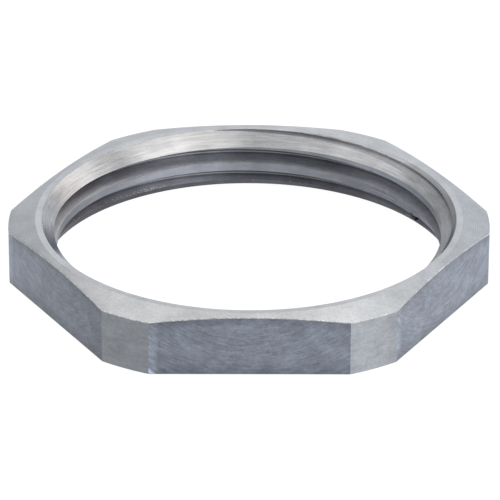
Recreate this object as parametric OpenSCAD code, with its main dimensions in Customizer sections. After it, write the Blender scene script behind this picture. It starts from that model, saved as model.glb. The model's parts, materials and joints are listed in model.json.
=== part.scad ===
// Hexagonal lock nut for a metric cable gland, turned and threaded from hexagonal bar.
// The nut lies on its plain face, with its axis on +Z and a pair of flats facing -Y and +Y.

/* [Thread] */
// Nominal diameter of the gland's thread, as in M25 x 1.5
thread_d = 25; // [16:0.5:40]
// Distance from one turn of the thread to the next
pitch = 1.5; // [1:0.25:2]
// How far the crests are cut back from the basic profile, on the radius
crest_relief = 0.11; // [0:0.01:0.15]
// How far the roots reach out past the nominal diameter, on the radius
root_relief = 0.08; // [0:0.01:0.12]
// Height of the groove's middle where it passes the +Y side
groove_height = 2.32; // [1.6:0.01:3.1]

/* [Hexagon] */
// Wall between the nominal diameter and each flat
flat_wall = 1; // [0.8:0.1:4]
// How far the turned-down corners stand out past the flats
corner_proud = 1.25; // [0.6:0.05:1.8]
// Height from the plain face to the bearing ring
height = 3.85; // [3:0.05:8]

/* [Top face] */
// Width of the flat bearing ring round the hole
ring_w = 0.4; // [0.2:0.05:0.5]
// Slope of the cone that runs from the ring out over the corners, in degrees
chamfer_angle = 15; // [8:1:30]

/* [Countersinks] */
// How far the upper mouth reaches out past the nominal diameter, on the radius
top_mouth_margin = 0.2; // [0.1:0.025:0.3]
// The same for the mouth in the plain face
foot_mouth_margin = 0.175; // [0.1:0.025:0.4]
// Full cone angle of both countersinks, in degrees
countersink_angle = 90; // [75:5:120]

/* [Hidden] */
$fn = 96;
// A metric thread's flanks lean 30 degrees each way from the plane across the axis
flank_slope = tan(30);
// Facets in one turn of the groove
steps_per_turn = 96;
// Length by which a cutter runs past the face it cuts
past = 1;

thread_r = thread_d / 2;
triangle_h = pitch / 2 / flank_slope;
crest_r = thread_r - triangle_h * 5 / 8 + crest_relief;
root_r = thread_r + root_relief;
flat_r = thread_r + flat_wall;
corner_r = flat_r + corner_proud;
top_mouth_r = thread_r + top_mouth_margin;
foot_mouth_r = thread_r + foot_mouth_margin;
ring_r = top_mouth_r + ring_w;
// Rise of a countersink for each millimetre of radius
sink_rise = 1 / tan(countersink_angle / 2);

// Outline that the lathe leaves: corner cylinder, top cone and bearing ring
module turned_blank() {
    rotate_extrude()
        polygon([
            [0, 0],
            [corner_r, 0],
            [corner_r, height - (corner_r - ring_r) * tan(chamfer_angle)],
            [ring_r, height],
            [0, height]
        ]);
}

// Hexagonal bar with its corners and top face turned: the cone cuts each flat in an arc
module hexagon_blank() {
    intersection() {
        cylinder(h = height, r = flat_r / cos(30), $fn = 6);
        turned_blank();
    }
}

// Hole that is drilled over the crests and countersunk at both ends
module countersunk_bore() {
    rotate_extrude()
        polygon([
            [0, -past],
            [foot_mouth_r + past / sink_rise, -past],
            [crest_r, (foot_mouth_r - crest_r) * sink_rise],
            [crest_r, height - (top_mouth_r - crest_r) * sink_rise],
            [top_mouth_r + past / sink_rise, height + past],
            [0, height + past]
        ]);
}

// Half of the groove's width at a radius: a sixteenth of the pitch at the nominal one
function groove_half(r) = pitch / 16 + (thread_r - r) * flank_slope;

// Section of the groove, as radius and height from its middle
function groove_section() =
    let (inner_r = crest_r - pitch / 8)
    [
        [inner_r, -groove_half(inner_r)],
        [root_r, -groove_half(root_r)],
        [root_r, groove_half(root_r)],
        [inner_r, groove_half(inner_r)]
    ];

// One right-hand helical groove, swept from below the plain face to above the ring
module thread_groove() {
    start_z = -pitch / 2;
    start_angle = 90 - 360 * (groove_height - start_z) / pitch;
    steps = ceil((height - 2 * start_z) / pitch * steps_per_turn);
    section = groove_section();
    sides = len(section);
    points = [
        for (i = [0:steps], p = section)
            let (turned = i / steps_per_turn, a = start_angle + 360 * turned)
            [p[0] * cos(a), p[0] * sin(a), p[1] + start_z + pitch * turned]
    ];
    skin = [
        for (i = [0:steps - 1], j = [0:sides - 1])
            let (a = i * sides + j, b = i * sides + (j + 1) % sides)
            each [[a, b, b + sides], [a, b + sides, a + sides]]
    ];
    last = steps * sides;
    ends = [
        [0, 3, 2],
        [0, 2, 1],
        [last, last + 1, last + 2],
        [last, last + 2, last + 3]
    ];
    polyhedron(points = points, faces = concat(skin, ends), convexity = 6);
}

module lock_nut() {
    color([0.62, 0.64, 0.67])
        difference() {
            hexagon_blank();
            countersunk_bore();
            thread_groove();
        }
}

lock_nut();
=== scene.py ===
# %% [markdown]
# # A turned and threaded lock nut
# The object is a thin hexagonal nut that clamps a cable gland to a panel. A lathe makes it from hexagonal
# bar: the corners are turned down, the top is faced to a shallow cone with a narrow flat ring round the
# hole, and the hole is countersunk at both ends and threaded. The measured solid is loaded first, as a
# fixed frame, and everything made below takes its place and size from it.

# %% Load the frame
import json
import math

import bpy
import numpy as np
from mathutils import Matrix, Vector


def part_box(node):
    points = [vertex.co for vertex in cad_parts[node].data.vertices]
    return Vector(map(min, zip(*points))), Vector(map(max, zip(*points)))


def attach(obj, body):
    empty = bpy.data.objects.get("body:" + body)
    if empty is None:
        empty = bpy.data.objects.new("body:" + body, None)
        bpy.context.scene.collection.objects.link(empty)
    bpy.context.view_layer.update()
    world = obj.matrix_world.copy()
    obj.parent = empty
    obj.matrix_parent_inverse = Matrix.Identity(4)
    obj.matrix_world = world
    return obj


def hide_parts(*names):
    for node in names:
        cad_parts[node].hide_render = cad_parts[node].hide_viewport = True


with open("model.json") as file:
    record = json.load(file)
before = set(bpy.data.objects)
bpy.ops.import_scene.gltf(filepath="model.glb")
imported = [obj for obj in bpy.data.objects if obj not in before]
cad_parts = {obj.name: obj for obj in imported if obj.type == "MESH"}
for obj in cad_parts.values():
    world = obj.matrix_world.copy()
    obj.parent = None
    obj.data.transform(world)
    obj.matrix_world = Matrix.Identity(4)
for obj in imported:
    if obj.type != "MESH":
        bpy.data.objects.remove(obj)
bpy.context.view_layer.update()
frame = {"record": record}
nut_low, nut_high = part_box("lock_nut")
mm = 0.001
print("frame loaded: the nut is", [round(v / mm, 2) for v in nut_high - nut_low], "mm")

# %% [markdown]
# ## Camera
# The photograph was taken from well away with a long lens, so the nut shows almost no perspective. The
# camera is placed by how high it stands over the table and how far round the nut it has gone, and it aims
# at the nut's middle. A small roll and lens shift match how the picture was held and cropped.

# %% Set the camera
camera_rise = math.radians(26.284)
camera_round = math.radians(-0.229)
camera_roll = math.radians(0.209)
camera_distance = 272.55 * mm
sensor_width = 36.0
lens_length = 319.3
frame_shift = (0.0021, -0.0125)

nut_middle = Vector((0, 0, nut_high.z / 2))
backwards = Vector((
    math.sin(camera_round) * math.cos(camera_rise),
    -math.cos(camera_round) * math.cos(camera_rise),
    math.sin(camera_rise),
))
camera_data = bpy.data.cameras.new("camera")
camera_data.sensor_width = sensor_width
camera_data.lens = lens_length
camera_data.shift_x, camera_data.shift_y = frame_shift
camera_data.clip_start = 10 * mm
camera_data.clip_end = 10
camera = bpy.data.objects.new("camera", camera_data)
facing = backwards.to_track_quat("Z", "Y").to_matrix().to_4x4()
camera_place = Matrix.Translation(nut_middle + backwards * camera_distance)
camera.matrix_world = camera_place @ facing @ Matrix.Rotation(camera_roll, 4, "Z")
bpy.context.scene.collection.objects.link(camera)
bpy.context.scene.camera = camera
print("camera", round(camera_distance / mm), "mm away,", round(math.degrees(camera_rise), 1), "degrees up")

# %% [markdown]
# ## Sizes of the nut
# The outer sizes are read from the frame's box and the bore from its thread mount, so that they can't drift
# from the solid. The others are the standard proportions of a metric thread and the margins that the solid
# was drawn with.

# %% Name the sizes
height = nut_high.z
corner_r = nut_high.x
flat_r = nut_high.y
thread_mount = next(m for m in frame["record"]["mounts"] if m["name"] == "thread")
crest_r = thread_mount["dims"]["r_mm"] * mm

thread_r = 12.5 * mm
pitch = 1.5 * mm
root_r = thread_r + 0.08 * mm
groove_height = 2.32 * mm
top_mouth_r = thread_r + 0.2 * mm
foot_mouth_r = thread_r + 0.175 * mm
ring_r = top_mouth_r + 0.4 * mm
chamfer_slope = math.tan(math.radians(15))
flank_slope = math.tan(math.radians(30))
flat_count = 6
print("bore", round(2 * crest_r / mm, 2), "mm over the crests, M", round(2 * thread_r / mm), "x", pitch / mm)

# %% [markdown]
# ## Columns round the nut
# The whole nut is one grid: columns run round the axis and rows run round the section. A hexagon with
# turned corners has twelve upright edges, and an edge looks crisp only where a column stands on it. So the
# columns are spread evenly and the nearest one is then moved onto each edge.

# %% Place the columns
column_count = 720
column_step = 2 * math.pi / column_count
flat_angle = 2 * math.pi / flat_count
half_flat = math.acos(flat_r / corner_r)

angle = np.arange(column_count) * column_step
flat_middles = (np.arange(flat_count) + 0.5) * flat_angle
upright_edges = np.concatenate([flat_middles - half_flat, flat_middles + half_flat])
angle[np.rint(upright_edges / column_step).astype(int) % column_count] = upright_edges
print(column_count, "columns,", len(upright_edges), "of them on upright edges")


# %% [markdown]
# ## Outer wall
# Seen from above, the outline is a circle with six chords cut off. Its distance from the axis is the
# smaller of two curves, the corner cylinder's constant radius and the straight flat's distance divided by a
# cosine.

# %% Work out the outer wall
def angle_from_flat(angles):
    """Angle from the middle of the nearest flat, which repeats every 60 degrees."""
    return np.mod(angles, flat_angle) - flat_angle / 2


def outer_radius(angles):
    """Radius of the outer wall: the flat's plane, or the turned corner where that lies nearer the axis."""
    return np.minimum(corner_r, flat_r / np.cos(angle_from_flat(angles)))


def cone_height(radius):
    """Height of the top cone: it falls evenly with the radius from the outside of the bearing ring."""
    return height - (radius - ring_r) * chamfer_slope


wall_r = outer_radius(angle)
wall_top = cone_height(wall_r)
print("flats", round(wall_top.max() / mm, 2), "mm high, corners", round(wall_top.min() / mm, 2), "mm")


# %% [markdown]
# ## Where the thread starts
# The groove runs out through the upper countersink, and there the cutter pushed a little deeper as it
# entered. It left a hair-thin fin of metal between the groove and the ring, and the fin's edge is torn in
# three places on the back right. The extra depth fades over a quarter of a millimetre of climb, and each
# tear is a run of random notches.

# %% Shape the start of the groove
rng = np.random.default_rng(7)
entry_depth = 0.09 * mm
entry_reach = 0.25 * mm
entry_climb = 0.22 * mm
fin_reach = 0.6 * mm
tear_depth = 0.035 * mm
tear_places = ((39.6, 2.6), (49.7, 1.6), (55.7, 1.4))


def entry_swell(middle):
    """Extra depth of the groove where its middle comes within a quarter of a millimetre of the ring."""
    share = np.clip((middle - (height - entry_reach)) / entry_climb, 0, 1)
    return entry_depth * share**2 * (3 - 2 * share)


torn = sum(np.exp(-(((np.degrees(angle) - place) / spread) ** 2)) for place, spread in tear_places)
notches = tear_depth * torn * rng.random(column_count)


def fin_tear(middle, angles):
    """How far the torn edge is notched back at each angle, for the turn of the groove next to the ring."""
    notch = np.interp(angles, angle, notches, period=2 * math.pi)
    return np.where(middle > height - fin_reach, notch, 0)


print("the fin is torn by up to", round(float(notches.max() / mm), 3), "mm")


# %% [markdown]
# ## Threaded bore
# The bore is drilled to the thread's crests, countersunk at both ends, and cut by one helical groove. Each
# cutter only takes metal away, so the wall is at whichever of the cuts reaches furthest from the axis. That
# one rule also gives the thread's run-outs, the long slivers where the groove leaves the nut through the
# countersinks. The lower countersink went in deeper at the two sides, so its wall is steeper there than at
# the back. It blends from one to the other over a few degrees on the right and thirty on the left.

# %% Work out the bore
back_lean = 1.0
side_lean = 0.6
back_start, start_blend = 28, 5
back_end, end_blend = 152, 30


def groove_middle(angles, turn):
    """Height of the groove's middle: it climbs one pitch a turn, counted from the +Y side."""
    return groove_height + pitch * (angles / (2 * math.pi) - 0.25 + turn)


def groove_half(radius):
    """Half of the groove's width at a radius: a sixteenth of the pitch at thread_r, and wider further in."""
    return pitch / 16 + (thread_r - radius) * flank_slope


def above_groove(z, angles):
    """Height over the middle of the nearest turn of the groove, from minus to plus half a pitch."""
    return np.mod(z - groove_middle(angles, 0) + pitch / 2, pitch) - pitch / 2


def foot_lean(angles):
    """How fast the lower countersink closes in with height: side_lean, but back_lean round the back."""
    turn = np.mod(np.degrees(angles), 360)
    share = np.clip((turn - back_start) / start_blend, 0, 1) * np.clip((back_end - turn) / end_blend, 0, 1)
    return side_lean + (back_lean - side_lean) * share**2 * (3 - 2 * share)


def cutter_reaches(z, angles):
    """How far from the axis each cutter gets: the drill, the two countersinks and the thread cutter."""
    from_middle = above_groove(z, angles)
    swell = entry_swell(z - from_middle)
    tear = fin_tear(z - from_middle, angles)
    reach = np.where(from_middle > 0, np.maximum(from_middle - tear, 0), -from_middle)
    groove = np.minimum(thread_r + swell + (pitch / 16 - reach) / flank_slope, root_r + swell)
    upper_sink = top_mouth_r - (height - z)
    lower_sink = foot_mouth_r - foot_lean(angles) * z
    return np.stack([np.full(z.shape, crest_r), upper_sink, lower_sink, groove])


# %% [markdown]
# The rows of the bore are spread evenly in height, but twice as close in the top millimetre, where the fin
# is. They are then pulled onto the thread's edges: in each column the row that is nearest to an edge moves
# onto it. The edges climb with the helix, so they wander from row to row, and the grid's diagonals are laid
# the same way as the helix so that an edge stays unbroken where it changes row.

# %% Pull the rows onto the thread's edges
fine_rows = 42
coarse_rows = 74
fine_reach = 1 * mm
bore_rows = fine_rows + coarse_rows
mouth_break = 0.015 * mm
bore_top = height - mouth_break
fine_z = np.linspace(bore_top, height - fine_reach, fine_rows, endpoint=False)
even_z = np.concatenate([fine_z, np.linspace(height - fine_reach, 0, coarse_rows)])
bore_z = np.repeat(even_z[:, None], column_count, axis=1)
edges_pulled = 0


def pull_rows(edge_z, real=True):
    """Moves the nearest row onto an edge at height edge_z, in the columns where the edge is real."""
    global edges_pulled
    row = np.rint(np.interp(-edge_z, -even_z, np.arange(bore_rows))).astype(int)
    column = np.flatnonzero(real & (row > 0) & (row < bore_rows - 1))
    bore_z[row[column], column] = edge_z[column]
    edges_pulled += len(column)


lean = foot_lean(angle)
turns = range(-3, 3)
# A countersink's radius is start_r + rise * z, so it crosses the crest and the root at a height of its own
sinks = [(top_mouth_r - height, 1), (foot_mouth_r, -lean)]
for start_r, rise in sinks:
    for stop_r in (crest_r, root_r):
        pull_rows(np.broadcast_to((stop_r - start_r) / rise, column_count))
for turn in turns:
    middle = groove_middle(angle, turn)
    swell = entry_swell(middle)
    for side in (-1, 1):
        # A countersink crosses a flank on a curve, where the two straight lines of the section meet
        moved = middle + (fin_tear(middle, angle) if side > 0 else 0)
        for start_r, rise in sinks:
            reach = pitch / 16 + (thread_r + swell - start_r) * flank_slope
            meet = (moved + side * reach) / (1 + side * rise * flank_slope)
            meet_r = start_r + rise * meet
            pull_rows(meet, (meet_r > crest_r) & (meet_r < root_r + swell))
        for stop_r in (crest_r, root_r + swell):
            edge = moved + side * groove_half(stop_r - swell)
            open_r = np.maximum(top_mouth_r - (height - edge), foot_mouth_r - lean * edge)
            pull_rows(edge, open_r < stop_r)
bore_r = cutter_reaches(bore_z, angle[None, :]).max(axis=0)
print(edges_pulled, "points pulled onto the thread's edges in", bore_rows, "rows")


# %% [markdown]
# ## One closed section
# Each column's section runs along the foot, up the outer wall, in over the cone and the ring, and down the
# bore. No machined edge is perfectly sharp, so each outer edge is broken by a short arc. An arc that is no
# wider than a hair still catches a line of light.

# %% Lay out the rows of the section
def straight(start, end, count):
    """Rows evenly spaced along the straight line between two corners of the section, leaving out the end."""
    share = np.linspace(0, 1, count, endpoint=False)[:, None, None]
    return start[None] * (1 - share) + end[None] * share


def broken_edge(before, corner, after, size, count=5):
    """Rows along a smooth arc in place of a corner: a parabola that starts and ends size away from it."""
    start = corner + (before - corner) * size / np.linalg.norm(before - corner, axis=0)
    end = corner + (after - corner) * size / np.linalg.norm(after - corner, axis=0)
    share = np.linspace(0, 1, count)[:, None, None]
    return start * (1 - share) ** 2 + 2 * corner * share * (1 - share) + end * share**2


def corner_points(radius, z):
    """One corner of the section in every column, as a row of radii over a row of heights."""
    return np.stack([np.broadcast_to(radius, column_count), np.broadcast_to(z, column_count)]).astype(float)


edge_break = 0.04 * mm
foot_mouth = corner_points(foot_mouth_r, 0)
foot_edge = corner_points(wall_r, 0)
wall_edge = corner_points(wall_r, wall_top)
ring_edge = corner_points(ring_r, height)
top_mouth = corner_points(top_mouth_r, height)
bore = np.stack([bore_r, bore_z], axis=1)

foot_arc = broken_edge(foot_mouth, foot_edge, wall_edge, edge_break)
wall_arc = broken_edge(foot_edge, wall_edge, ring_edge, edge_break)
mouth_arc = broken_edge(ring_edge, top_mouth, bore[0], mouth_break)

FACED, RING, MILLED, TURNED, SUNK, THREAD, CREST, UNDER, FOOT = range(9)
bands = [
    (FOOT, straight(bore[-1], foot_arc[0], 2)),
    (FOOT, foot_arc[:-1]),
    (MILLED, straight(foot_arc[-1], wall_arc[0], 4)),
    (FACED, wall_arc[:-1]),
    (FACED, straight(wall_arc[-1], ring_edge, 3)),
    (RING, straight(ring_edge, mouth_arc[0], 2)),
    (SUNK, mouth_arc[:-1]),
    (THREAD, bore[:-1]),
]
wall_arc_band = 3
rows_below_arc = sum(len(rows) for finish, rows in bands[:wall_arc_band])
section = np.concatenate([rows for finish, rows in bands])
row_finish = np.concatenate([np.full(len(rows), finish) for finish, rows in bands])
row_count = len(section)
print(row_count, "rows in the section,", row_count * column_count * 2, "triangles")

# %% [markdown]
# ## The mesh
# The section is turned round the axis and joined to itself both ways, which makes a closed skin with no
# seam and no pole. Each cell is split into two triangles along the diagonal that climbs with the thread. A
# face then gets its finish from the band that it lies in, the outer wall's from whether it is a flat or a
# corner, and the bore's from the cutter that made it.

# %% Build the mesh
section_r = section[:, 0]
section_z = section[:, 1]
points = np.stack([section_r * np.cos(angle), section_r * np.sin(angle), section_z], axis=-1).reshape(-1, 3)

row, column = np.meshgrid(np.arange(row_count), np.arange(column_count), indexing="ij")
here = row * column_count + column
beside = row * column_count + (column + 1) % column_count
after = (row + 1) % row_count * column_count + column
across = (row + 1) % row_count * column_count + (column + 1) % column_count
first_half = np.stack([here, beside, after], axis=-1).reshape(-1, 3)
second_half = np.stack([beside, across, after], axis=-1).reshape(-1, 3)
triangles = np.concatenate([first_half, second_half])
finish = np.tile(np.repeat(row_finish, column_count), 2)

centre = points[triangles].mean(axis=1)
centre_angle = np.arctan2(centre[:, 1], centre[:, 0])
on_corner = np.abs(angle_from_flat(centre_angle)) > half_flat
finish[(finish == MILLED) & on_corner] = TURNED

in_bore = finish == THREAD
cutter_finishes = np.array([CREST, SUNK, UNDER, THREAD])
furthest = cutter_reaches(centre[in_bore, 2], centre_angle[in_bore]).argmax(axis=0)
finish[in_bore] = cutter_finishes[furthest]

nut_mesh = bpy.data.meshes.new("lock_nut_machined")
nut_mesh.from_pydata(points, [], triangles)
nut_mesh.polygons.foreach_set("material_index", finish)
nut_mesh.shade_smooth()
nut = bpy.data.objects.new("lock_nut_machined", nut_mesh)
bpy.context.scene.collection.objects.link(nut)
print("a mesh of", len(points), "points and", len(triangles), "triangles")

# %% [markdown]
# An edge is sharp where two finishes meet or where the skin turns by more than 25 degrees. Everywhere else
# the normals run on smoothly, so the facets of the cylinders, cones and helix don't show.

# %% Mark the sharp edges
sharp_turn = math.radians(25)
nut_mesh.set_sharp_from_angle(angle=sharp_turn)
edge_count = len(nut_mesh.edges)
sharp = np.zeros(edge_count, bool)
nut_mesh.attributes["sharp_edge"].data.foreach_get("value", sharp)

corner_edge = np.zeros(len(nut_mesh.loops), int)
nut_mesh.loops.foreach_get("edge_index", corner_edge)
corner_finish = np.repeat(finish, 3)
lowest = np.full(edge_count, len(bands))
highest = np.zeros(edge_count, int)
np.minimum.at(lowest, corner_edge, corner_finish)
np.maximum.at(highest, corner_edge, corner_finish)
sharp |= lowest != highest
nut_mesh.attributes["sharp_edge"].data.foreach_set("value", sharp)
print(int(sharp.sum()), "sharp edges of", edge_count)


# %% [markdown]
# ## Places on the flats
# The milling marks follow each flat, so they need to know how far along its flat a point lies. That is kept
# in the mesh as an attribute of three numbers: millimetres along the flat, millimetres up, and the number
# of the flat. A second attribute holds how far below the wall's top edge a point lies, since the flats are
# a little darker there.

# %% Store the place on the flat
def store(name, kind, domain, values):
    """Keeps an array in the mesh as an attribute, for the materials to read by name."""
    attribute = nut_mesh.attributes.new(name, kind, domain)
    field = "vector" if kind == "FLOAT_VECTOR" else "value"
    attribute.data.foreach_set(field, values.astype(np.float32).ravel())


along = flat_r * np.tan(angle_from_flat(angle)) / mm
flat_number = np.floor(angle / flat_angle)
flat_place = np.stack([
    np.broadcast_to(along, (row_count, column_count)),
    section_z / mm,
    np.broadcast_to(flat_number, (row_count, column_count)),
], axis=-1)
store("flat_place", "FLOAT_VECTOR", "POINT", flat_place)
store("below_edge", "FLOAT", "POINT", np.maximum(wall_top[None, :] - section_z, 0) / mm)
print("a flat runs from", round(float(along.min()), 2), "to", round(float(along.max()), 2), "mm")

# %% [markdown]
# ## How bright each face is
# Each flat and each corner gets its own level, which will scale its colour. The levels are painted light
# and shade: the front right faces are painted lighter and the front left ones darker, and some flats also
# fade along their length. A level belongs to a face and not to a point, so that a flat and a corner meet in
# a crisp line.

# %% Levels of painted light on the flats and corners
# Painted light and shade: each flat and corner is lighter or darker by how the light falls on it
flat_light_levels = np.array([1.0, 0.96, 1.0, 0.765, 0.91, 1.19])
flat_light_fades = np.array([0.0, 0.0, 0.0, -0.16, 0.06, 0.05])
corner_light_levels = np.array([1.05, 1.0, 1.0, 1.0, 0.72, 1.2])
face_turn = np.mod(centre_angle, 2 * math.pi)
face_flat = np.floor(face_turn / flat_angle).astype(int) % flat_count
face_corner = np.rint(face_turn / flat_angle).astype(int) % flat_count
face_along = angle_from_flat(centre_angle) / half_flat
level = flat_light_levels[face_flat] + flat_light_fades[face_flat] * face_along
level = np.where(on_corner, corner_light_levels[face_corner], level)
print("the flats' levels run from", flat_light_levels.min(), "to", flat_light_levels.max())


# %% [markdown]
# The other finishes get brighter and darker patches of painted light and shade, placed round the nut where
# the light and its reflections fall. Each patch is given by its place round the nut in degrees, its spread
# and its strength, and the level is 1 plus the sum of the patches. Two crests and two turns of the groove
# show in the bore, and the upper ones have patches of their own. So do the faces next to the ring, and the
# strip of the lower countersink has a painted highlight where it catches the light on the right.

# %% Patches of painted light round the nut
def patchy(turn, patches):
    """Level round the nut: 1 plus a smooth hump for each patch of a place, a spread and a strength."""
    humps = 0
    for place, spread, strength in patches:
        away = np.mod(np.degrees(turn) - place + 180, 360) - 180
        humps = humps + strength * np.exp(-((away / spread) ** 2))
    return 1 + humps


rim_reach = 0.6 * mm
thread_split = 2.6 * mm
lit_strip_foot = 0.85 * mm
lit_strip_end = math.radians(30)
root_painted_shade = 0.42

face_z = centre[:, 2]
in_groove = finish == THREAD
at_rim = in_groove & (face_z > height - rim_reach)
upper_crest = (finish == CREST) & (face_z > height / 2)
lit_strip = (finish == UNDER) & (face_z > lit_strip_foot) & (face_turn < lit_strip_end)
# Painted light and shade: each patch brightens or darkens a finish where the light and its reflections fall
patched_faces = [
    (finish == FACED, ((90, 10, -0.06), (105, 35, -0.1), (142, 20, -0.07), (195, 30, -0.1),
                       (236, 13, 0.14), (295, 12, 0.2), (308, 6, -0.06), (350, 25, -0.08))),
    (finish == RING, ((97, 8, -0.05), (150, 15, -0.07), (195, 14, 0.07), (240, 40, -0.09), (322, 8, -0.05))),
    (finish == SUNK, ((4, 12, -0.14), (37, 8, 0.19), (82, 7, 0.16), (98, 7, -0.1),
                      (127, 7, 0.25), (168, 14, -0.25), (187, 9, -0.15), (202, 7, -0.24))),
    (in_groove, ((5, 12, -0.23), (22, 8, -0.08), (43, 16, 0.3),
                 (112, 18, 0.7), (142, 7, 0.1), (158, 9, -0.1))),
    (in_groove & (face_z > thread_split), ((350, 10, -0.25), (15, 14, -0.28), (82, 6, 0.25))),
    (at_rim, ((8, 16, -0.35), (38, 20, -0.12), (75, 20, -0.3))),
    (finish == CREST, ((22, 12, -0.5), (48, 14, -0.25), (114, 17, 0.6), (135, 14, 0.08), (172, 16, -0.62))),
    (upper_crest, ((8, 20, -0.8), (52, 14, 0.22), (112, 10, -0.16), (142, 9, 0.2), (173, 16, -0.6))),
    (finish == UNDER, ((36, 9, -0.8), (60, 12, -0.4), (130, 14, -0.23))),
    (lit_strip, ((23, 10, 0.95),)),
]
for faces, patches in patched_faces:
    level[faces] = patchy(face_turn[faces], patches)
# Painted shade: the groove's root is darkened, as the shade in the recess
in_root = np.abs(above_groove(face_z, centre_angle)) < groove_half(root_r)
level[in_groove & in_root & ~at_rim] -= root_painted_shade
print("levels from", round(float(level.min()), 2), "to", round(float(level.max()), 2))

# %% [markdown]
# The front right corner has a lighter and a darker stripe, a painted highlight and a painted shade, and the
# upper countersink is painted lighter towards its lower edge at the back and towards its mouth on the left.
# The bore also gets a painted tint of the light that it reflects, brownish in some places and bluish in
# others. That cast is stored as a colour, red down and blue up by the same share.

# %% Stripes, slopes and the cast, all painted light
painted_corner_stripes = ((297.5, 2.5, 0.07), (305, 2.0, -0.08))
painted_sunk_slopes = ((116, 16, 0.1), (157, 10, -0.08))
painted_tint_patches = {
    SUNK: ((158, 16, -0.12), (206, 10, 0.25)),
    THREAD: ((168, 18, -0.16),),
    CREST: ((8, 20, 0.28), (174, 14, 0.3)),
    UNDER: ((23, 12, 0.12),),
}

turned, sunk = finish == TURNED, finish == SUNK
# Painted highlight and shade: a lighter and a darker stripe down the front right corner
level[turned] *= patchy(face_turn[turned], painted_corner_stripes)
# Painted light: the upper countersink is lighter towards its lower edge at the back and its mouth on the
# left
sunk_depth = (height - face_z[sunk]) / (top_mouth_r - crest_r)
level[sunk] *= 1 + (patchy(face_turn[sunk], painted_sunk_slopes) - 1) * (2 * sunk_depth - 1)

# Painted tint of the reflected light: brownish in some places and bluish in others
bluer = np.zeros(len(finish))
for number, patches in painted_tint_patches.items():
    faces = finish == number
    bluer[faces] = (patchy(face_turn[faces], patches) - 1) / 2
store("cast", "FLOAT_VECTOR", "FACE", np.stack([1 - bluer, np.ones(len(finish)), 1 + bluer], axis=-1))
print("the cast moves blue and red by up to", round(float(np.abs(bluer).max()), 2))

# %% [markdown]
# Wear and handling left small marks. The arc that breaks the wall's top edge has painted glints, a random
# brighter level in each column, and three chips. The bore has nicks in its edges, dark spots and a scratch
# in the groove, and a rubbed line, each of them a small oval.

# %% Painted glints on the top edge and marks in the bore
top_edge_chips = ((353.4, 0.5, 0.5), (293.4, 0.5, -0.45), (260.9, 0.4, -0.4))
dullest, liveliest = 0.85, 1.35
# Painted glints: a random brighter level in each column of the top edge's arc
painted_edge_glints = dullest + (liveliest - dullest) * rng.random(column_count) ** 3
on_top_edge = np.zeros(row_count, bool)
on_top_edge[rows_below_arc:rows_below_arc + len(wall_arc) - 1] = True
top_edge_face = np.tile(np.repeat(on_top_edge, column_count), 2)
edge_level = np.tile(painted_edge_glints * patchy(angle, top_edge_chips), row_count * 2)
level[top_edge_face] *= edge_level[top_edge_face]


def mark(turn, z, half_turn, half_tall, gain):
    """Scales the level of the bore's faces in a small oval, which is given in degrees and millimetres."""
    away = np.hypot((np.degrees(face_turn) - turn) / half_turn, (face_z / mm - z) / half_tall)
    marked = in_bore & (away < 1)
    level[marked] *= gain
    return int(marked.sum())


mark_sizes = {
    "nick in the upper crest": mark(49.0, 2.65, 0.5, 0.05, 0.4),
    "dark spot in the lower groove": mark(31.9, 0.45, 0.7, 0.07, 0.12),
    "another dark spot beside it": mark(33.2, 0.46, 0.7, 0.05, 0.45),
    "nick in the lower crest": mark(30.6, 1.09, 0.6, 0.07, 0.5),
    "scratch beside the dark spot": mark(35.4, 0.40, 1.0, 0.03, 1.5),
    "rubbed line on the lower crest": mark(44.0, 1.38, 5.4, 0.03, 1.5),
    "nick in the mouth": mark(185.5, 3.84, 0.6, 0.05, 1.6),
}
print("faces in each mark:", mark_sizes)

# %% [markdown]
# A line of bright specks, painted glints, runs along the edge between the lower groove and the lower
# countersink. Each face on it has a small chance of being one, greatest at the back left.

# %% Scatter the specks
speck_places = ((120.5, 3.5, 0.35), (133.0, 14.0, 0.08), (90.0, 40.0, 0.02))
speck_line, speck_line_half = 0.32 * mm, 0.08 * mm
speck_ceiling = 1 * mm
speck_glint_gain = 4
speck_odds = patchy(face_turn, speck_places) - 1
off_line = np.abs(-above_groove(face_z, centre_angle) - speck_line)
on_speck_line = in_bore & (off_line < speck_line_half) & (face_z < speck_ceiling)
# Painted glints: bright specks scattered along the line
painted_speck_glints = on_speck_line & (rng.random(len(finish)) < speck_odds)
level[painted_speck_glints] *= speck_glint_gain
store("level", "FLOAT", "FACE", level)
print(int(painted_speck_glints.sum()), "specks over the lower countersink")


# %% [markdown]
# ## Painted shade in the bore
# The bore's colour holds painted shade: it is bright on the faces that look up and out, and dark in the
# groove and under the overhangs, where the shade falls. How far a face is open to the sky is worked out from
# the section itself. At each point the open arc of sky runs from the far rim up to whatever overhangs the
# point, and a face takes the share of its own half circle that this arc covers.

# %% Measure how open the bore is to the sky
far_rim = np.arctan2(height - section_z, section_r + top_mouth_r)
rises = bore_z[None, :-1] - bore_z[:-1, None]
inwards = bore_r[:-1, None] - bore_r[None, :-1]
upward = np.where(rises > 0, np.arctan2(rises, inwards), math.pi)
overhang = np.full(section_r.shape, math.pi)
overhang[row_count - len(bore) + 1:] = upward.min(axis=1)

edges_out = points[triangles[:, 1:]] - points[triangles[:, :1]]
face_normal = np.cross(edges_out[:, 0], edges_out[:, 1])
outwards = centre[:, :2] / np.linalg.norm(centre[:, :2], axis=1, keepdims=True)
looks_out = (face_normal[:, :2] * outwards).sum(axis=1)
facing_up = np.arctan2(face_normal[:, 2], -looks_out)[:, None]

highest_sky = np.minimum(overhang.ravel()[triangles], facing_up + math.pi / 2)
lowest_sky = np.maximum(far_rim.ravel()[triangles], facing_up - math.pi / 2)
open_sky = (np.sin(highest_sky - facing_up) - np.sin(lowest_sky - facing_up)) / 2
open_sky = np.where(highest_sky > lowest_sky, open_sky, 0)

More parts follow.
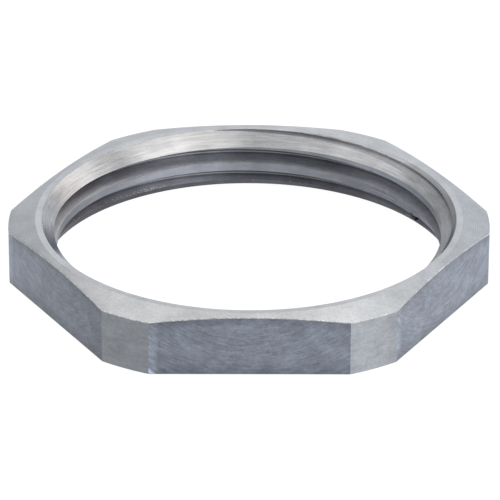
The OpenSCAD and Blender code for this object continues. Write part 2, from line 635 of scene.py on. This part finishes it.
# Painted shade: the open share of sky sets how lit a face is painted
sky_steps = (0.0, 0.1, 0.43, 0.64, 0.76, 1.0)
lit_steps = (0.0, 0.05, 0.25, 0.4, 1.0, 1.0)
painted_lit = np.interp(open_sky, sky_steps, lit_steps)
bore_painted_lit = painted_lit[in_bore]
print("the bore is clean from", round(float(bore_painted_lit.min()), 2), "to", round(float(bore_painted_lit.max()), 2))

# %% [markdown]
# Where the groove starts in the countersink it is only a shallow step, so there the painted shade is laid
# by place instead: the groove's root is painted dark, and its lower flank clears within a tenth of a
# millimetre, or further down where the cutter went in deeper. The painted shade is lighter at the back
# right, and on the far left and right the upper countersink is painted darker too.

# %% Lay the painted shade where the groove starts
rim_fade = 0.1 * mm
rim_shade_lit = 0.03
lighter_rim_shade = ((40, 22, 7.0),)
sunk_painted_shade = ((202, 11, -0.6), (0, 14, -0.35))
from_middle = above_groove(section_z, angle[None, :])
rim_swell = entry_swell(section_z - from_middle)
# Painted shade: dark in the groove's root where it starts, clearing down the lower flank
under_root = -from_middle - groove_half(root_r) - rim_swell
rim_painted_shade = np.clip(1 - under_root.ravel()[triangles] / rim_fade, 0, 1)
rim_painted_shade[~at_rim] = 0
painted_lit[sunk] *= patchy(face_turn[sunk], sunk_painted_shade)[:, None]
painted_lit = painted_lit * (1 - rim_painted_shade) + rim_shade_lit * patchy(face_turn, lighter_rim_shade)[:, None] * rim_painted_shade
store("painted_lit", "FLOAT", "CORNER", painted_lit)
print("oil stays on", int((rim_painted_shade.max(axis=1) > 0.5).sum()), "faces under the rim")


# %% [markdown]
# ## Building a material
# The finishes share a few effects, and each effect is a node group with named inputs. These helpers keep
# the node code short: one adds a node and wires or sets its inputs, and one starts a group.

# %% Helpers for nodes
def add(tree, kind, sockets=None, **settings):
    """Adds a node, sets its settings and fills its inputs: a socket is linked, anything else is a value."""
    node = tree.nodes.new(kind)
    for name, value in settings.items():
        setattr(node, name, value)
    for name, value in (sockets or {}).items():
        if isinstance(value, bpy.types.NodeSocket):
            tree.links.new(value, node.inputs[name])
        else:
            node.inputs[name].default_value = value
    return node


def math_of(tree, operation, first, second=0.0):
    """Output of a Math node on two sockets or numbers."""
    return add(tree, "ShaderNodeMath", {0: first, 1: second}, operation=operation).outputs[0]


def distance_of(tree, first, second):
    """Length of the line whose two legs are given: the root of the sum of their squares."""
    squares = [math_of(tree, "POWER", leg, 2.0) for leg in (first, second)]
    return math_of(tree, "SQRT", math_of(tree, "ADD", *squares))


def stretch(tree, value, start, end, low, high):
    """Value moved from the span start..end to the span low..high, and held at the ends."""
    sockets = {"Value": value, "From Min": start, "From Max": end, "To Min": low, "To Max": high}
    return add(tree, "ShaderNodeMapRange", sockets).outputs[0]


def blend(tree, share, first, second):
    """Mix of two masks: share is how much of the second is taken."""
    return add(tree, "ShaderNodeMix", {"Factor": share, "A": first, "B": second}).outputs[0]


def noise_of(tree, place, scale, detail, rough=0.5):
    """Output of a noise texture, looked up by place."""
    look = {"Vector": place, "Scale": scale, "Detail": detail, "Roughness": rough}
    return add(tree, "ShaderNodeTexNoise", look).outputs["Fac"]


def attribute_of(tree, name, output="Fac"):
    """Output of an attribute of the mesh."""
    return add(tree, "ShaderNodeAttribute", attribute_name=name).outputs[output]


def new_group(name, inputs, outputs):
    """An empty shader group with float inputs and outputs: its tree, its input node and its output node."""
    tree = bpy.data.node_groups.new(name, "ShaderNodeTree")
    for label, value in inputs.items():
        socket = tree.interface.new_socket(label, in_out="INPUT", socket_type="NodeSocketFloat")
        socket.default_value = value
    for label in outputs:
        tree.interface.new_socket(label, in_out="OUTPUT", socket_type="NodeSocketFloat")
    return tree, tree.nodes.new("NodeGroupInput"), tree.nodes.new("NodeGroupOutput")


def use_group(tree, group, output, **inputs):
    """Output socket of a group placed in a material with its own values."""
    return add(tree, "ShaderNodeGroup", inputs, node_tree=group).outputs[output]


# %% [markdown]
# A lathe leaves a fine groove at each turn of the feed, so its marks follow circles round the axis. This
# group stretches noise along those circles: it looks the noise up by the direction from the axis, which
# changes slowly, and by the radius and height, which change fast. One group then serves the corners, the
# countersinks and the bore.

# %% Group for lathe marks
def polar_place(tree):
    """Sockets of the object coordinates round the axis: x, y and z, and the distance from the axis."""
    place = add(tree, "ShaderNodeTexCoord").outputs["Object"]
    part = add(tree, "ShaderNodeSeparateXYZ", {0: place}).outputs
    return part["X"], part["Y"], part["Z"], distance_of(tree, part["X"], part["Y"])


def lathe_marks_group():
    """Mask of circular streaks. Radial and Axial are lines per millimetre, Round is how often they end."""
    inputs = {"Radial": 8.0, "Axial": 0.0, "Round": 3.0, "Rough": 0.7}
    tree, given, result = new_group("lathe marks", inputs, ["Marks"])
    x, y, z, radius = polar_place(tree)
    outwards_lines = math_of(tree, "MULTIPLY", radius, given.outputs["Radial"])
    upwards_lines = math_of(tree, "MULTIPLY", z, given.outputs["Axial"])
    across = math_of(tree, "ADD", outwards_lines, upwards_lines)
    x_way = math_of(tree, "MULTIPLY", math_of(tree, "DIVIDE", x, radius), given.outputs["Round"])
    y_way = math_of(tree, "MULTIPLY", math_of(tree, "DIVIDE", y, radius), given.outputs["Round"])
    z_way = math_of(tree, "DIVIDE", across, mm)
    lookup = add(tree, "ShaderNodeCombineXYZ", {"X": x_way, "Y": y_way, "Z": z_way}).outputs[0]
    streaks = noise_of(tree, lookup, 1.0, 4.0, given.outputs["Rough"])
    tree.links.new(streaks, result.inputs["Marks"])
    return tree


lathe_marks = lathe_marks_group()
print("group", lathe_marks.name, "has", len(lathe_marks.nodes), "nodes")


# %% [markdown]
# The faced top shows the feed itself, as even rings an eighth of a millimetre apart. A sine of the radius
# draws them, and a slow noise bends them a little, so that they beat and fade the way that real ones do.

# %% Group for feed rings
def feed_rings_group():
    """Mask of even rings round the axis. Feed is their spacing in millimetres."""
    tree, given, result = new_group("feed rings", {"Feed": 0.125}, ["Rings"])
    x, y, z, radius = polar_place(tree)
    place = add(tree, "ShaderNodeTexCoord").outputs["Object"]
    sway = noise_of(tree, place, 0.6 / mm, 1.0)
    turns_out = math_of(tree, "DIVIDE", math_of(tree, "DIVIDE", radius, mm), given.outputs["Feed"])
    phase = math_of(tree, "MULTIPLY", math_of(tree, "ADD", turns_out, sway), 2 * math.pi)
    wave = stretch(tree, math_of(tree, "SINE", phase), -1.0, 1.0, 0.0, 1.0)
    tree.links.new(wave, result.inputs["Rings"])
    return tree


feed_rings = feed_rings_group()
print("group", feed_rings.name, "has", len(feed_rings.nodes), "nodes")


# %% [markdown]
# Steel under soft light is never quite even: its grain, fine pits and the film of oil on it cloud the tone
# a little. A third group gives that mottle at whatever size a finish needs.

# %% Group for mottle
def mottle_group():
    """Mask of soft cloudy spots. Size is how many there are in a millimetre."""
    tree, given, result = new_group("mottle", {"Size": 3.0, "Rough": 0.6}, ["Mottle"])
    place = add(tree, "ShaderNodeTexCoord").outputs["Object"]
    scale = math_of(tree, "DIVIDE", given.outputs["Size"], mm)
    spots = noise_of(tree, place, scale, 4.0, given.outputs["Rough"])
    tree.links.new(spots, result.inputs["Mottle"])
    return tree


mottle = mottle_group()
print("group", mottle.name, "has", len(mottle.nodes), "nodes")


# %% [markdown]
# Every finish is bare steel, so all of them share one recipe: a Principled shader that is fully metallic, a
# colour that the marks lighten and darken, a roughness that they vary a little, and a bump of a few
# thousandths of a millimetre.

# %% Recipe for bare steel
def ramp_of(tree, value, stops):
    """Colour of a ramp whose stops are pairs of a position and a colour."""
    ramp = add(tree, "ShaderNodeValToRGB", {"Fac": value})
    elements = ramp.color_ramp.elements
    while len(elements) < len(stops):
        elements.new(0.5)
    for element, (position, colour) in zip(elements, stops):
        element.position = position
        element.color = (*colour, 1)
    return ramp.outputs["Color"]


mask_span = (0.2, 0.8)
gloss_swing = 0.05


def steel(name, colour, roughness, marks, strength, bump_depth, shade=None):
    """A steel finish, of one colour, a pair that the mask runs between, or a function of the tree.

    The mask of marks moves the colour by strength either way, shade scales it, and the mesh's cast, a
    painted tint of the reflected light, tints it.
    """
    material = bpy.data.materials.new(name)
    material.use_nodes = True
    tree = material.node_tree
    shader = tree.nodes["Principled BSDF"]
    shader.inputs["Metallic"].default_value = 1.0
    mask = marks(tree)
    tone = stretch(tree, mask, *mask_span, 1 - strength, 1 + strength)
    if shade:
        tone = math_of(tree, "MULTIPLY", tone, shade(tree))
    painted = colour
    if callable(colour):
        painted = colour(tree)
    elif len(colour) == 2:
        painted = ramp_of(tree, mask, ((0.25, colour[0]), (0.75, colour[1])))
    toned = add(tree, "ShaderNodeVectorMath", {0: painted, "Scale": tone}, operation="SCALE").outputs[0]
    sockets = {0: toned, 1: attribute_of(tree, "cast", "Vector")}
    tinted = add(tree, "ShaderNodeVectorMath", sockets, operation="MULTIPLY").outputs[0]
    tree.links.new(tinted, shader.inputs["Base Color"])
    gloss = stretch(tree, mask, *mask_span, roughness - gloss_swing, roughness + gloss_swing)
    tree.links.new(gloss, shader.inputs["Roughness"])
    bump = add(tree, "ShaderNodeBump", {"Height": mask, "Distance": bump_depth, "Strength": 1.0})
    tree.links.new(bump.outputs[0], shader.inputs["Normal"])
    return material


# %% [markdown]
# ## Faced and turned finishes
# The faced cone and ring are bright and satin. The corners are a little darker, partly their worn finish and
# partly painted shade, with level lines round them. The feed rings are real marks, but they are painted
# clear only on the left and right of the cone, where the light picks them out, and faint at the front and
# back.

# %% Faced and turned finishes
def faced_marks(tree):
    """Even feed rings under a grainy mottle, painted clear only at the two sides, where the light picks them
    out.
    """
    rings = use_group(tree, feed_rings, "Rings", Feed=0.125)
    grain = use_group(tree, mottle, "Mottle", Size=5.0, Rough=0.85)
    x, y, z, radius = polar_place(tree)
    # Painted light: the rings' share is raised at the two sides, where the light picks them out
    sideways = math_of(tree, "ABSOLUTE", math_of(tree, "DIVIDE", x, radius))
    return blend(tree, stretch(tree, sideways, 0.45, 0.9, 0.95, 0.76), rings, grain)


def ring_marks(tree):
    """A finer mottle alone, since the ring was rubbed smooth."""
    return use_group(tree, mottle, "Mottle", Size=5.0, Rough=0.8)


def turned_marks(tree):
    """Level lines round the corners."""
    lines = use_group(tree, lathe_marks, "Marks", Radial=0.0, Axial=4.0, Round=14.0, Rough=0.85)
    clouds = use_group(tree, mottle, "Mottle", Size=4.0, Rough=0.8)
    return blend(tree, 0.45, lines, clouds)


bright_steel = (0.607, 0.61, 0.61)
ring_steel = (0.671, 0.653, 0.638)
# Partly painted shade: the corners and flats are darker than the top, beyond their worn finish
worn_and_shaded_turned = ((0.268, 0.284, 0.312), (0.382, 0.398, 0.427))
worn_and_shaded_milled = ((0.143, 0.151, 0.172), (0.315, 0.355, 0.435))


def level_shade(tree):
    """The face's level of painted light, shade, glints and wear, clouded by a slow mottle."""
    slow_mottle = use_group(tree, mottle, "Mottle", Size=0.7, Rough=0.5)
    clouds = stretch(tree, slow_mottle, 0.3, 0.7, 0.91, 1.09)
    return math_of(tree, "MULTIPLY", clouds, attribute_of(tree, "level"))


faced_finish = steel("faced steel", bright_steel, 0.42, faced_marks, 0.22, 0.0006 * mm, level_shade)
ring_finish = steel("faced ring", ring_steel, 0.38, ring_marks, 0.14, 0.0005 * mm, level_shade)
turned_finish = steel("turned corners", worn_and_shaded_turned, 0.4, turned_marks, 0.2, 0.001 * mm, level_shade)
foot_finish = steel("parted foot", worn_and_shaded_turned, 0.4, faced_marks, 0.2, 0.001 * mm)
print("the outside has four lathe finishes")


# %% [markdown]
# ## Bored finishes
# The bore's finishes are one steel under more or less painted shade. The mesh's painted_lit attribute picks
# the colour, from the painted shade to the bright metal, and long streaks run round over it. The crests,
# which the drill left, look bluish, the upper one a little darker as painted shade, and the lower
# countersink, which faces the table, has the darkest painted shade.

# %% Countersunk and threaded finishes
# Painted shade: the bore's colours run from the dark shade in the groove to the bright metal
warm_steel = (0.61, 0.605, 0.605)
deep_shade_steel = (0.18, 0.182, 0.197)
root_steel = (0.27, 0.275, 0.30)
half_shade_steel = (0.36, 0.363, 0.39)
flank_steel = (0.385, 0.388, 0.41)
crest_steel = (0.23, 0.24, 0.27)
shaded_upper_crest_steel = (0.215, 0.228, 0.257)
# Painted shade: the lower countersink, facing the table, is coloured darkest
shaded_under_steel = (0.14, 0.143, 0.16)


def bored_colour(tree):
    """Colour between the painted shade in the groove and the bright metal of the countersink."""
    shaded_stops = ((0.0, deep_shade_steel), (0.14, root_steel), (0.17, half_shade_steel))
    lit_stops = ((0.4, flank_steel), (1.0, warm_steel))
    return ramp_of(tree, attribute_of(tree, "painted_lit"), shaded_stops + lit_stops)


def crest_colour(tree):
    """Bluish colour of the crests, with painted shade making the upper one a little darker."""
    return ramp_of(tree, attribute_of(tree, "painted_lit"), ((0.265, crest_steel), (0.285, shaded_upper_crest_steel)))


def sunk_marks(tree):
    """Long streaks round the countersink, broken by a few cloudy patches."""
    streaks = use_group(tree, lathe_marks, "Marks", Radial=5.0, Axial=5.0, Round=5.0, Rough=0.7)
    patches = use_group(tree, lathe_marks, "Marks", Radial=0.8, Axial=0.8, Round=3.0, Rough=0.6)
    return blend(tree, 0.1, streaks, patches)


def thread_marks(tree):
    """Fainter streaks along the thread."""
    streaks = use_group(tree, lathe_marks, "Marks", Radial=5.0, Axial=5.0, Round=9.0, Rough=0.75)
    clouds = use_group(tree, mottle, "Mottle", Size=4.0, Rough=0.8)
    return blend(tree, 0.4, streaks, clouds)


sunk_finish = steel("countersunk steel", bored_colour, 0.28, sunk_marks, 0.4, 0.001 * mm, level_shade)
thread_finish = steel("threaded steel", bored_colour, 0.36, thread_marks, 0.4, 0.001 * mm, level_shade)
crest_finish = steel("thread crests", crest_colour, 0.36, thread_marks, 0.35, 0.001 * mm, level_shade)
under_finish = steel("lower countersink", shaded_under_steel, 0.38, thread_marks, 0.5, 0.001 * mm, level_shade)
# Painted shade: a grey specular tint dims the lower countersink's grazing reflection of the white floor
under_shader = under_finish.node_tree.nodes["Principled BSDF"]
under_shader.inputs["Specular Tint"].default_value = (0.5, 0.5, 0.52, 1)
print("the bore has four finishes")


# %% [markdown]
# ## Milled flats
# The flats were milled with a cutter whose marks are arcs about 9 mm in radius, centred well above the nut.
# In places on the flat, the distance from that centre picks the line, and the noise is stretched along the
# arc. The flats are darker just under the top edge, and painted shade darkens them just above the foot. A
# strip at one end of each was cut a second time and is lighter, partly by its finish and partly as a painted
# highlight. The front flat's lower left corner was knocked, and its shine is a painted glint.

# %% Milled finish
front_flat = 4
mark_radius = 8.7
mark_centre = mark_radius + height / mm / 2
recut_end = -5.45
recut_blend = 0.15
# Partly a painted highlight: the strip that was cut twice is lighter
recut_highlight_gain = 1.25
# Painted shade: the flats darken just above the foot
top_share, foot_shade_share = 0.77, 0.71
bruise_slant = 1.1
bruise_start, bruise_end = -5.62, -5.42
# Painted glint on the knocked corner of the front flat
bruise_glint_gain = 1.6


def streaks_of(tree, across, length, flat, lines, ends):
    """Noise with so many lines per millimetre across, each ending so often along its length."""
    lookup = add(tree, "ShaderNodeCombineXYZ", {
        "X": math_of(tree, "MULTIPLY", across, lines),
        "Y": math_of(tree, "MULTIPLY", length, ends),
        "Z": math_of(tree, "MULTIPLY", flat, 10.0),
    }).outputs[0]
    return noise_of(tree, lookup, 1.0, 3.0, 0.8)


def before_strip(tree, along_flat, inside, outside):
    """Value that changes from inside the strip that was cut twice to outside it."""
    return stretch(tree, along_flat, recut_end - recut_blend, recut_end + recut_blend, inside, outside)


def milled_marks(tree):
    """Coarse and fine arcs of a milling cutter, centred above the middle of the flat, over a mottle."""
    part = add(tree, "ShaderNodeSeparateXYZ", {0: attribute_of(tree, "flat_place", "Vector")}).outputs
    below = math_of(tree, "SUBTRACT", mark_centre, part["Y"])
    from_centre = distance_of(tree, part["X"], below)
    swing = math_of(tree, "ARCTAN2", part["X"], below)
    coarse_arcs = streaks_of(tree, from_centre, swing, part["Z"], 3.4, 15.0)
    fine_arcs = streaks_of(tree, from_centre, swing, part["Z"], 7.0, 7.0)
    arcs = blend(tree, 0.6, coarse_arcs, fine_arcs)
    downhill = math_of(tree, "ADD", part["X"], part["Y"])
    uphill = math_of(tree, "SUBTRACT", part["X"], part["Y"])
    hatch = streaks_of(tree, downhill, uphill, part["Z"], 4.5, 0.8)
    marks = blend(tree, before_strip(tree, part["X"], 0.9, 0.0), arcs, hatch)
    clouds = use_group(tree, mottle, "Mottle", Size=0.8, Rough=0.6)
    grain = use_group(tree, mottle, "Mottle", Size=7.0, Rough=0.7)
    return blend(tree, 0.2, blend(tree, 0.22, marks, grain), clouds)


def flat_shade(tree):
    """Darker near the top edge, painted shade at the foot, a painted highlight on the twice-cut strip, a
    painted glint on one bruised corner.
    """
    part = add(tree, "ShaderNodeSeparateXYZ", {0: attribute_of(tree, "flat_place", "Vector")}).outputs
    top = stretch(tree, attribute_of(tree, "below_edge"), 0.05, 0.6, top_share, 1.0)
    foot = stretch(tree, part["Y"], 0.0, 0.9, foot_shade_share, 1.0)
    strip = before_strip(tree, part["X"], recut_highlight_gain, 1.0)
    ends = math_of(tree, "MULTIPLY", math_of(tree, "MULTIPLY", top, foot), strip)
    slant = math_of(tree, "ADD", part["X"], math_of(tree, "MULTIPLY", part["Y"], bruise_slant))
    from_front = math_of(tree, "ABSOLUTE", math_of(tree, "SUBTRACT", part["Z"], front_flat))
    on_front = math_of(tree, "LESS_THAN", from_front, 0.5)
    glint = stretch(tree, slant, bruise_start, bruise_end, bruise_glint_gain, 0.0)
    bruise_glint_factor = math_of(tree, "ADD", math_of(tree, "MULTIPLY", glint, on_front), 1.0)
    return math_of(tree, "MULTIPLY", math_of(tree, "MULTIPLY", ends, bruise_glint_factor), level_shade(tree))


milled_finish = steel("milled flats", worn_and_shaded_milled, 0.38, milled_marks, 0.5, 0.0015 * mm, flat_shade)

finishes = {
    FACED: faced_finish, RING: ring_finish, MILLED: milled_finish, TURNED: turned_finish,
    SUNK: sunk_finish, THREAD: thread_finish, CREST: crest_finish, UNDER: under_finish, FOOT: foot_finish,
}
for number in sorted(finishes):
    nut_mesh.materials.append(finishes[number])
print(len(finishes), "finishes on the nut")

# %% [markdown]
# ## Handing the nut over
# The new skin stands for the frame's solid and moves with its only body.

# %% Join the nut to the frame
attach(nut, "root")
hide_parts("lock_nut")
print(nut.name, "stands for lock_nut")


# %% [markdown]
# ## Floor and light
# The nut lies on a plain white table. Rays from the camera and from reflections see the floor as white
# paper, with a little of its own shading left, so that the nut keeps a faint shadow under its edge.

# %% Floor
floor_reach = 3.0
floor_mesh = bpy.data.meshes.new("floor")
floor_corners = floor_reach * np.array([[-1, -1, 0], [1, -1, 0], [1, 1, 0], [-1, 1, 0]])
floor_mesh.from_pydata(floor_corners, [], [[0, 1, 2, 3]])
floor = bpy.data.objects.new("floor", floor_mesh)
bpy.context.scene.collection.objects.link(floor)

floor_paper = bpy.data.materials.new("white paper")
floor_paper.use_nodes = True
floor_tree = floor_paper.node_tree
floor_tree.nodes.remove(floor_tree.nodes["Principled BSDF"])
seen = add(floor_tree, "ShaderNodeLightPath").outputs
seen_through = math_of(floor_tree, "MAXIMUM", seen["Is Glossy Ray"], seen["Is Transmission Ray"])
seen_directly = math_of(floor_tree, "MAXIMUM", seen["Is Camera Ray"], seen_through)
plain_paper = add(floor_tree, "ShaderNodeBsdfDiffuse", {"Color": (0.7, 0.7, 0.7, 1)}).outputs[0]
faint_paper = add(floor_tree, "ShaderNodeBsdfDiffuse", {"Color": (0.12, 0.12, 0.12, 1)}).outputs[0]
white_glow = add(floor_tree, "ShaderNodeEmission", {"Color": (1, 1, 1, 1), "Strength": 0.97}).outputs[0]
white_paper = add(floor_tree, "ShaderNodeAddShader", {0: faint_paper, 1: white_glow}).outputs[0]
paper = add(floor_tree, "ShaderNodeMixShader", {0: seen_directly, 1: plain_paper, 2: white_paper}).outputs[0]
floor_tree.links.new(paper, floor_tree.nodes["Material Output"].inputs["Surface"])
floor_mesh.materials.append(floor_paper)
print("the floor is", 2 * floor_reach, "m wide")


# %% [markdown]
# The light is a plain soft studio. An even world gives nearly half of it, and six large boxes give the
# rest: two behind, one on each side, one over the right shoulder and one overhead. The boxes on the right
# are the stronger ones, as in the photograph. A box is given by where it stands and how wide and tall it
# looks from the nut, in degrees, and its power is worked out from how bright its face should look, where 1
# is white.

# %% Lights
box_distance = 600 * mm


def softbox(name, rise, round_by, wide, tall, glow, colour):
    """A flat lamp aimed at the nut: rise is its height over the table, round_by its angle from the back."""
    light = bpy.data.lights.new(name, "AREA")
    light.shape = "RECTANGLE"
    light.size = 2 * box_distance * math.tan(math.radians(wide / 2))
    light.size_y = 2 * box_distance * math.tan(math.radians(tall / 2))
    # A lamp of P watts and area A looks as bright as P / (pi * A)
    light.energy = glow * math.pi * light.size * light.size_y
    light.color = colour
    lamp = bpy.data.objects.new(name, light)
    rise, round_by = math.radians(rise), math.radians(round_by)
    away = Vector((math.sin(round_by) * math.cos(rise), math.cos(round_by) * math.cos(rise), math.sin(rise)))
    turned = away.to_track_quat("Z", "Y").to_matrix().to_4x4()
    lamp.matrix_world = Matrix.Translation(nut_middle + away * box_distance) @ turned
    bpy.context.scene.collection.objects.link(lamp)


softbox("back box", 22, 24, 84, 44, 0.34, (0.86, 1.0, 1.17))
softbox("high box", 60, 20, 70, 30, 0.55, (1.01, 1.0, 0.98))
softbox("left box", 36, 262, 40, 70, 0.42, (1.0, 1.0, 1.0))
softbox("right box", 20, 96, 98, 38, 0.62, (1.03, 1.0, 0.96))
softbox("shoulder box", 49, 128, 34, 50, 0.85, (1.02, 1.0, 0.97))
softbox("top box", 90, 0, 28, 28, 1.1, (1.01, 1.0, 0.97))

world_glow = (0.44, 0.45, 0.47, 1)
world = bpy.data.worlds.new("studio")
world.use_nodes = True
world.node_tree.nodes["Background"].inputs["Color"].default_value = world_glow
bpy.context.scene.world = world
bpy.context.scene.view_settings.view_transform = "Standard"
print(len(bpy.data.lights), "soft boxes and an even world")
